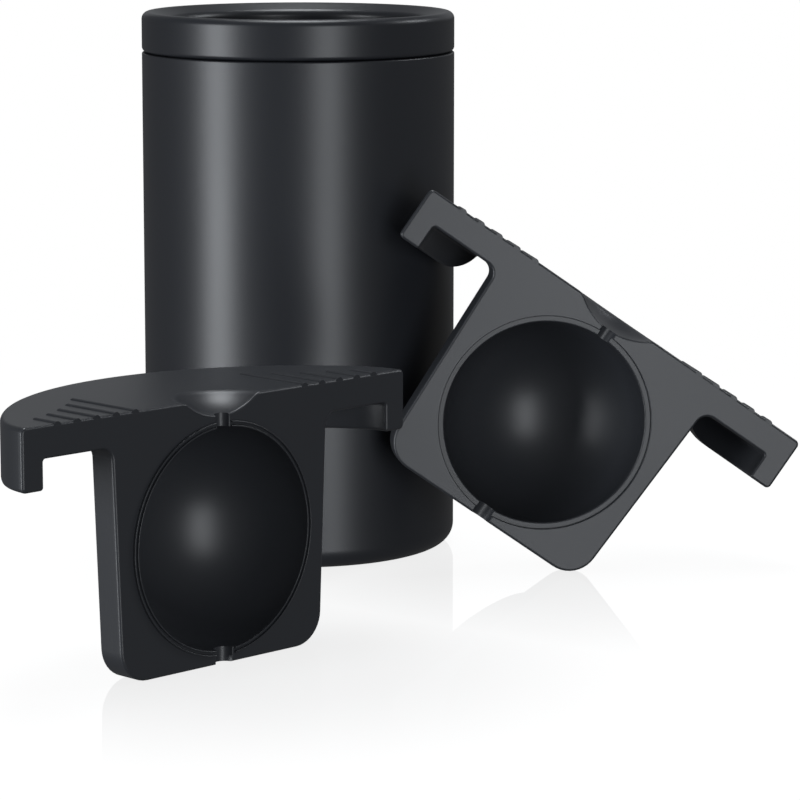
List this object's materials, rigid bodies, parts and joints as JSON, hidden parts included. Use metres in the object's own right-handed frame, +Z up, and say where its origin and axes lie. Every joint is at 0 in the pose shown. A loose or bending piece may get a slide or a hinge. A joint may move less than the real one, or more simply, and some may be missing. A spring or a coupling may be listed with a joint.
{
  "type": "clear ice ball maker",
  "caption": "Insulated round container with a thick rim collar, and a split ball mold whose wing plates rest on the rim; the mold halves stand and lean beside it.",
  "frame": {"origin": "centre of the container's foot, on the surface it stands on", "axes": "+Z up along the container's axis, -Y towards the viewer, +X towards the leaning half"},
  "size_m": [0.2217, 0.2579, 0.1636],
  "materials": {
    "shell": "satin charcoal",
    "collar": "satin charcoal",
    "base": "fine grain charcoal",
    "liner": "satin dark grey",
    "foam": "foam",
    "mold": "satin charcoal"
  },
  "bodies": {
    "container": {"outer_shell": "shell", "base_cover": "base", "insulation_disc": "foam", "insulation_sleeve": "foam", "inner_liner": "liner", "rim_collar": "collar"},
    "left_half": {"left_mold_half": "mold"},
    "right_half": {"right_mold_half": "mold"}
  },
  "joints": [
    {"name": "left_half_lift", "type": "slide", "parent": "container", "child": "left_half", "axis": [0, 0, 1], "range_m": [0, 0.18]},
    {"name": "right_half_lift", "type": "slide", "parent": "container", "child": "right_half", "axis": [0, 0, 1], "range_m": [0, 0.18]}
  ]
}
